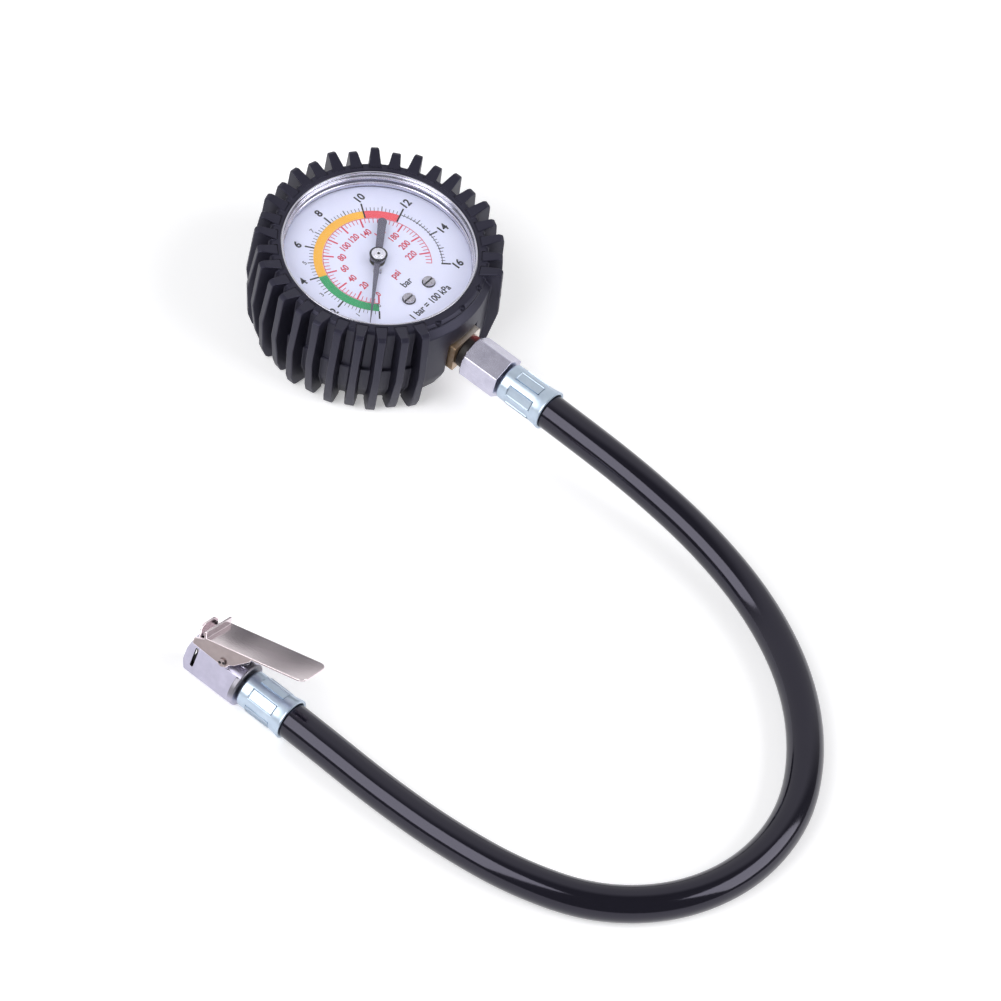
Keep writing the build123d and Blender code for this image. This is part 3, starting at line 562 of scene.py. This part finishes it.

# the collar at the body's back end: the same plate, with painted shade darkening its upper half
collar_nickel, shader, place = start_material("nickel_plate_painted_shade_on_top", Metallic=1.0, Roughness=0.4)
height = add_node(collar_nickel, "ShaderNodeSeparateXYZ", {"Vector": place}).outputs["Z"]
upper = add_node(collar_nickel, "ShaderNodeMapRange",
                 {"Value": height, "From Min": 7 * mm, "From Max": 10 * mm}, interpolation_type="SMOOTHSTEP")
colour_by(collar_nickel, shader, upper.outputs["Result"], "#b3b0c3", "#7d7b83")
chuck = rounded_copy("chuck_body", "chuck_block", 0.16 * mm, "gauge", satin_nickel)


def finish_faces(piece, material, wanted):
    """Gives the faces that this test picks, by centre and normal, a material of their own."""
    piece.data.materials.append(material)
    for face in piece.data.polygons:
        if wanted(face.center, face.normal):
            face.material_index = len(piece.data.materials) - 1


# the chuck lies along Y with its mouth to +Y, rolled so that its top leans to +X
chuck_axis = Vector((-137, 0, 7.4)) * mm
mouth_y = -47.5
chuck_roll = radians(18.6)
chuck_up = Vector((sin(chuck_roll), 0, cos(chuck_roll)))
pin_axis = Vector(next(joint["axis"] for joint in frame["joints"] if joint["name"] == "lever_press"))


def from_axis(place):
    """How far a place is from the chuck's axis."""
    return Vector((place.x - chuck_axis.x, 0, place.z - chuck_axis.z)).length


def on_chuck(back, up, out=0.0):
    """The place this far back from the mouth, above the axis and out on the pin's side, in millimetres."""
    return chuck_axis + Vector((0, mouth_y - back, 0)) * mm + chuck_up * up * mm - pin_axis * out * mm


collar_front = (mouth_y - 18.55) * mm
finish_faces(chuck, collar_nickel, lambda centre, normal: centre.y < collar_front)

# bare drilled metal inside the bore and the slit, painted nearly black as painted shade
bore_metal, shader, place = start_material("bored_metal_painted_shade", Metallic=0.5, Roughness=0.5)
mottle(bore_metal, shader, place, 1 * mm, "#17161a", "#2b2a30")
bore_end = (mouth_y - 18.4) * mm
slit_back, slit_front = (mouth_y - 4.1) * mm, (mouth_y - 2.8) * mm


def in_bore(centre, normal):
    """Whether a face is in the bore, whose floor lies nearer to the axis than its walls."""
    bore_reach = 4.75 if normal.dot(chuck_up) > 0.8 else 5.3
    return centre.y > bore_end and from_axis(centre) < bore_reach * mm


def in_slit(centre, normal):
    """Whether a face is a wall of the slit through both flats."""
    return (slit_back < centre.y < slit_front and from_axis(centre) < 7.2 * mm
            and abs(normal.dot(pin_axis)) < 0.6)


finish_faces(chuck, bore_metal, in_bore)
finish_faces(chuck, bore_metal, in_slit)

# moulded black rubber: matt, a shade lighter than the bore behind it
black_seal, shader, place = start_material("moulded_valve_seal", Roughness=0.5, IOR=1.5)
mottle(black_seal, shader, place, 2 * mm, "#1f1e24", "#2b2a30")
dress(["valve_seal"], black_seal)
dress(["depressor_pin"], machined_brass)

# nickelled sheet: a warm, slightly buckled mirror
pressed_nickel, shader, place = start_material("pressed_and_nickelled_steel", Metallic=1.0, Roughness=0.2)
mottle(pressed_nickel, shader, place, 9 * mm, "#e2d6db", "#f4eaee")
grain(pressed_nickel, shader, place, 0.5 * mm, 0.015 * mm, 0.3)
# thin strip never comes off the press quite flat
swell = add_node(pressed_nickel, "ShaderNodeTexNoise",
                 {"Vector": place, "Scale": 1 / (22 * mm), "Detail": 0.0})
swell_bump = add_node(pressed_nickel, "ShaderNodeBump",
                      {"Height": swell.outputs["Fac"], "Distance": 1.3 * mm, "Strength": 1.0})
grain_bump = next(node for node in pressed_nickel.node_tree.nodes
                  if node.bl_idname == "ShaderNodeBump" and node != swell_bump)
pressed_nickel.node_tree.links.new(swell_bump.outputs["Normal"], grain_bump.inputs["Normal"])
press_lever = rounded_copy("lever", "press_lever", 0.2 * mm, "lever", pressed_nickel)

# the jaw's blade: bright outside, with painted shade darkening it where it lies inside the bore
jaw_steel, shader, place = start_material("jaw_steel_painted_shade_in_bore", Metallic=1.0, Roughness=0.24)
across = add_node(jaw_steel, "ShaderNodeVectorMath", {0: place, 1: (1, 0, 1)}, operation="MULTIPLY")
reach = add_node(jaw_steel, "ShaderNodeVectorMath", {0: across.outputs[0], 1: chuck_axis},
                 operation="DISTANCE")
unshaded_share = add_node(jaw_steel, "ShaderNodeMapRange",
                 {"Value": reach.outputs["Value"], "From Min": 4.6 * mm, "From Max": 5.4 * mm},
                 interpolation_type="SMOOTHSTEP")
colour_by(jaw_steel, shader, unshaded_share.outputs["Result"], "#1c1a1e", "#ebdfe4")
clip_jaw = rounded_copy("jaw", "clip_jaw", 0.2 * mm, "lever", jaw_steel)

# the lever's folded cheeks and its pin: the same steel, painted darker and browner as painted shade on the
# faces that face sideways
cheek_nickel, shader, place = start_material("nickel_with_painted_shade", Metallic=1.0, Roughness=0.34)
mottle(cheek_nickel, shader, place, 4 * mm, "#8a7f80", "#a79b9b")
grain(cheek_nickel, shader, place, 0.5 * mm, 0.015 * mm, 0.3)
finish_faces(press_lever, cheek_nickel, lambda centre, normal: abs(normal.dot(pin_axis)) > 0.95)
dress(["lever_pin"], cheek_nickel)

# two punch marks in the head of the pin, each a raised burr round a pit, the whole mark dark with painted
# shade
pin_head = 6.9
for number, (back, up) in enumerate(((12.4, 6.75), (13.7, 7.3))):
    mark_centre = on_chuck(back, up, out=pin_head)
    bpy.ops.mesh.primitive_torus_add(major_segments=24, minor_segments=10, major_radius=0.24 * mm,
                                     minor_radius=0.18 * mm, location=mark_centre,
                                     rotation=pin_axis.to_track_quat("Z", "Y").to_euler())
    mark = bpy.context.object
    mark.name = "staking_mark_%d" % number
    bpy.ops.object.transform_apply()
    bpy.ops.object.mode_set(mode="EDIT")
    bpy.ops.mesh.select_all(action="SELECT")
    bpy.ops.transform.resize(value=(1, 1.25, 1), center_override=mark_centre)
    bpy.ops.object.mode_set(mode="OBJECT")
    bpy.ops.object.shade_smooth()
    mark.data.materials.append(bore_metal)
    mark.select_set(False)
    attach(mark, "gauge")

# drawn wire: plain grey steel with long soft highlights
spring_wire, shader, place = start_material("drawn_spring_wire", Metallic=1.0, Roughness=0.3)
mottle(spring_wire, shader, place, 2 * mm, "#8e8e98", "#b0b0ba")

# the spring can't follow the lever, so a copy with a mesh of its own rides on the gauge
coil = bpy.data.objects.new("press_spring", nodes["lever_spring"].data.copy())
bpy.context.scene.collection.objects.link(coil)
coil.data.materials.clear()
coil.data.materials.append(spring_wire)
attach(coil, "gauge")
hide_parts("lever_spring")
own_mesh(coil)

# ---------------------------------------------------------------- movement behind the dial
# Brass plates, pillars and gears, a bronze Bourdon tube and a bronze hairspring, screwed to the
# socket and all hidden by the dial.

# drawn phosphor bronze: redder and deeper than the brass round it
tube_bronze, shader, place = start_material("drawn_phosphor_bronze", Metallic=1.0, Roughness=0.32)
mottle(tube_bronze, shader, place, 5 * mm, "#a8754a", "#c08a5a")
dress(["bourdon_tube", "hairspring", "hairspring_stud"], tube_bronze)
dress(["sector_gear", "link", "movement_back_plate", "movement_front_plate", "movement_pillars"],
      machined_brass)
dress(["pinion"], blackened_steel)
dress(["sector_arbor", "link_pin", "pillar_screws", "movement_screws"], nickel_screw)

# ---------------------------------------------------------------- floor, lamps and background
# Plain white table under two large soft lamps, with a white wall on one side only, which the glossy
# pieces reflect.

# white paint: even and matt, lifted to pure white where it is seen, so only soft shadows show
floor_paint, shader, place = start_material("white_table", Roughness=0.7)
mottle(floor_paint, shader, place, 200 * mm, "#f4f4f6", "#f8f8fa")
light_path = add_node(floor_paint, "ShaderNodeLightPath", {})
seen = add_node(floor_paint, "ShaderNodeMath", {0: light_path.outputs["Is Camera Ray"],
                                                1: light_path.outputs["Is Glossy Ray"]}, operation="MAXIMUM")
seen = add_node(floor_paint, "ShaderNodeMath", {0: seen.outputs[0],
                                                1: light_path.outputs["Is Transmission Ray"]},
                operation="MAXIMUM")
floor_lift = add_node(floor_paint, "ShaderNodeMath", {0: seen.outputs[0], 1: 0.34}, operation="MULTIPLY")
shader.inputs["Emission Color"].default_value = (1, 1, 1, 1)
floor_paint.node_tree.links.new(floor_lift.outputs[0], shader.inputs["Emission Strength"])
bpy.ops.mesh.primitive_plane_add(size=12, location=(0, 0, -0.2 * mm))
floor = bpy.context.object
floor.name = "studio_floor"
floor.data.materials.append(floor_paint)
floor.select_set(False)

lit_centre = Vector((-0.07, -0.09, 0))
lamp_distance = 2.0
lamps = (((-0.71, 0.22, 0.67), (1.45, 1.9), 34.0),      # direction, width and depth in m, watts
         ((0.36, -0.75, 0.56), (1.5, 1.5), 28.0))
for direction, size, power in lamps:
    place = lit_centre + lamp_distance * Vector(direction).normalized()
    bpy.ops.object.light_add(type="AREA", location=place,
                             rotation=(lit_centre - place).to_track_quat("-Z", "Y").to_euler())
    lamp = bpy.context.object
    lamp.data.shape = "RECTANGLE"
    lamp.data.size, lamp.data.size_y = size
    lamp.data.energy = power
    lamp.select_set(False)

world = bpy.data.worlds.new("studio")
bpy.context.scene.world = world
world.use_nodes = True
sky = world.node_tree.nodes["Background"]
sky.inputs["Color"].default_value = (1, 1, 1, 1)
light_path = add_node(world, "ShaderNodeLightPath", {})
direction = add_node(world, "ShaderNodeTexCoord", {}).outputs["Generated"]
facing = add_node(world, "ShaderNodeVectorMath", {0: direction, 1: (0.5, 0.866, 0.0)},
                  operation="DOT_PRODUCT")
wall = add_node(world, "ShaderNodeMapRange", {"Value": facing.outputs["Value"], "From Min": 0.05,
                                              "From Max": 0.4, "To Min": 0.2, "To Max": 0.95},
                interpolation_type="SMOOTHSTEP")
strength = add_node(world, "ShaderNodeMix", {0: light_path.outputs["Is Glossy Ray"], 2: 0.2,
                                             3: wall.outputs["Result"]})
seen = add_node(world, "ShaderNodeMath", {0: light_path.outputs["Is Camera Ray"],
                                          1: light_path.outputs["Is Transmission Ray"]},
                operation="MAXIMUM")
through = add_node(world, "ShaderNodeMix", {0: seen.outputs[0], 2: strength.outputs[0], 3: 1.0})
world.node_tree.links.new(through.outputs[0], sky.inputs["Strength"])
bpy.context.scene.view_settings.view_transform = "Standard"
